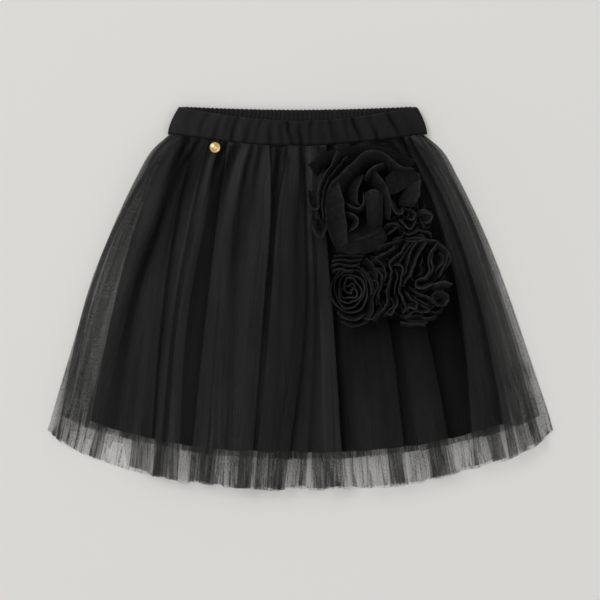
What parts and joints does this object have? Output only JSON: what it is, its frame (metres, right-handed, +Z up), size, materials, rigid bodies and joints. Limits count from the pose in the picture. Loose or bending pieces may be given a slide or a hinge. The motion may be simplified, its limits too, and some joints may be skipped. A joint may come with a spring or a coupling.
{
  "type": "tulle skirt",
  "caption": "Child's black tulle skirt laid flat: elastic waistband, gathered tulle over an opaque lining, and a cluster of ruffled tulle rosettes at one hip.",
  "frame": {"origin": "centre of the bounding box at the underside, on the surface that the skirt lies on", "axes": "+X across the skirt to the side with the rosettes, +Y from the hem to the waist, +Z up from the surface to the front of the skirt"},
  "size_m": [0.5107, 0.384, 0.0452],
  "materials": {
    "band_knit": "matte rib knit",
    "tulle": "sheer matte net",
    "lining": "matte woven",
    "rosette_tulle": "matte net",
    "charm_metal": "polished"
  },
  "bodies": {
    "root": {"waistband_front": "band_knit", "waistband_back": "band_knit", "tulle_outer_front": "tulle", "tulle_outer_back": "tulle", "tulle_under_front": "tulle", "tulle_under_back": "tulle", "lining_front": "lining", "lining_back": "lining", "rosette_large": "rosette_tulle", "rosette_small": "rosette_tulle", "rosette_spiral": "rosette_tulle", "rosette_ruffled": "rosette_tulle", "charm": "charm_metal"}
  },
  "joints": []
}
